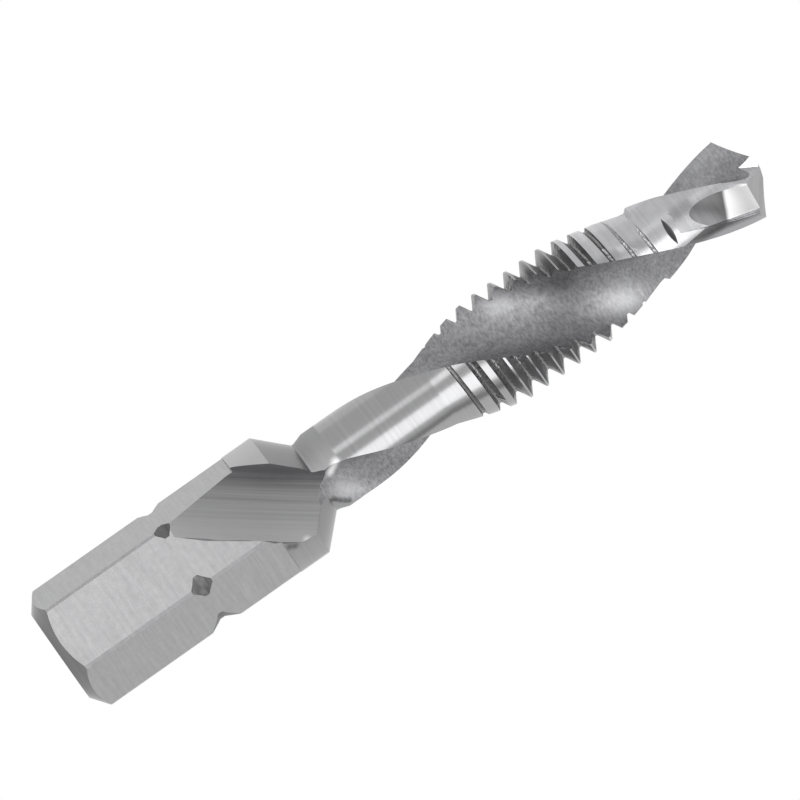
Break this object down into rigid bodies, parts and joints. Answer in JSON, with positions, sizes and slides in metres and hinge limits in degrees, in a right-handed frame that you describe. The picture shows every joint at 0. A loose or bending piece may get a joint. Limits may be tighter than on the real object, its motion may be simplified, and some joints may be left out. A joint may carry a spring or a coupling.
{
  "type": "drill tap bit",
  "caption": "Steel drill and tap bit in one piece: a hex shank with a detent groove, a fluted neck, a threaded tap section and a twist drill point.",
  "frame": {"origin": "centre of the shank's end face, on the bit's axis", "axes": "+X along the bit's axis from the shank towards the drill point, +Z square to one flat of the hexagon, +Y to complete a right-handed frame; the bit lies at rest on the opposite flat's side"},
  "size_m": [0.0439, 0.0072, 0.0066],
  "materials": {
    "tool_steel": "ground and turned bare high-speed steel"
  },
  "bodies": {
    "root": {"drill_tap_bit": "tool_steel"}
  },
  "joints": []
}
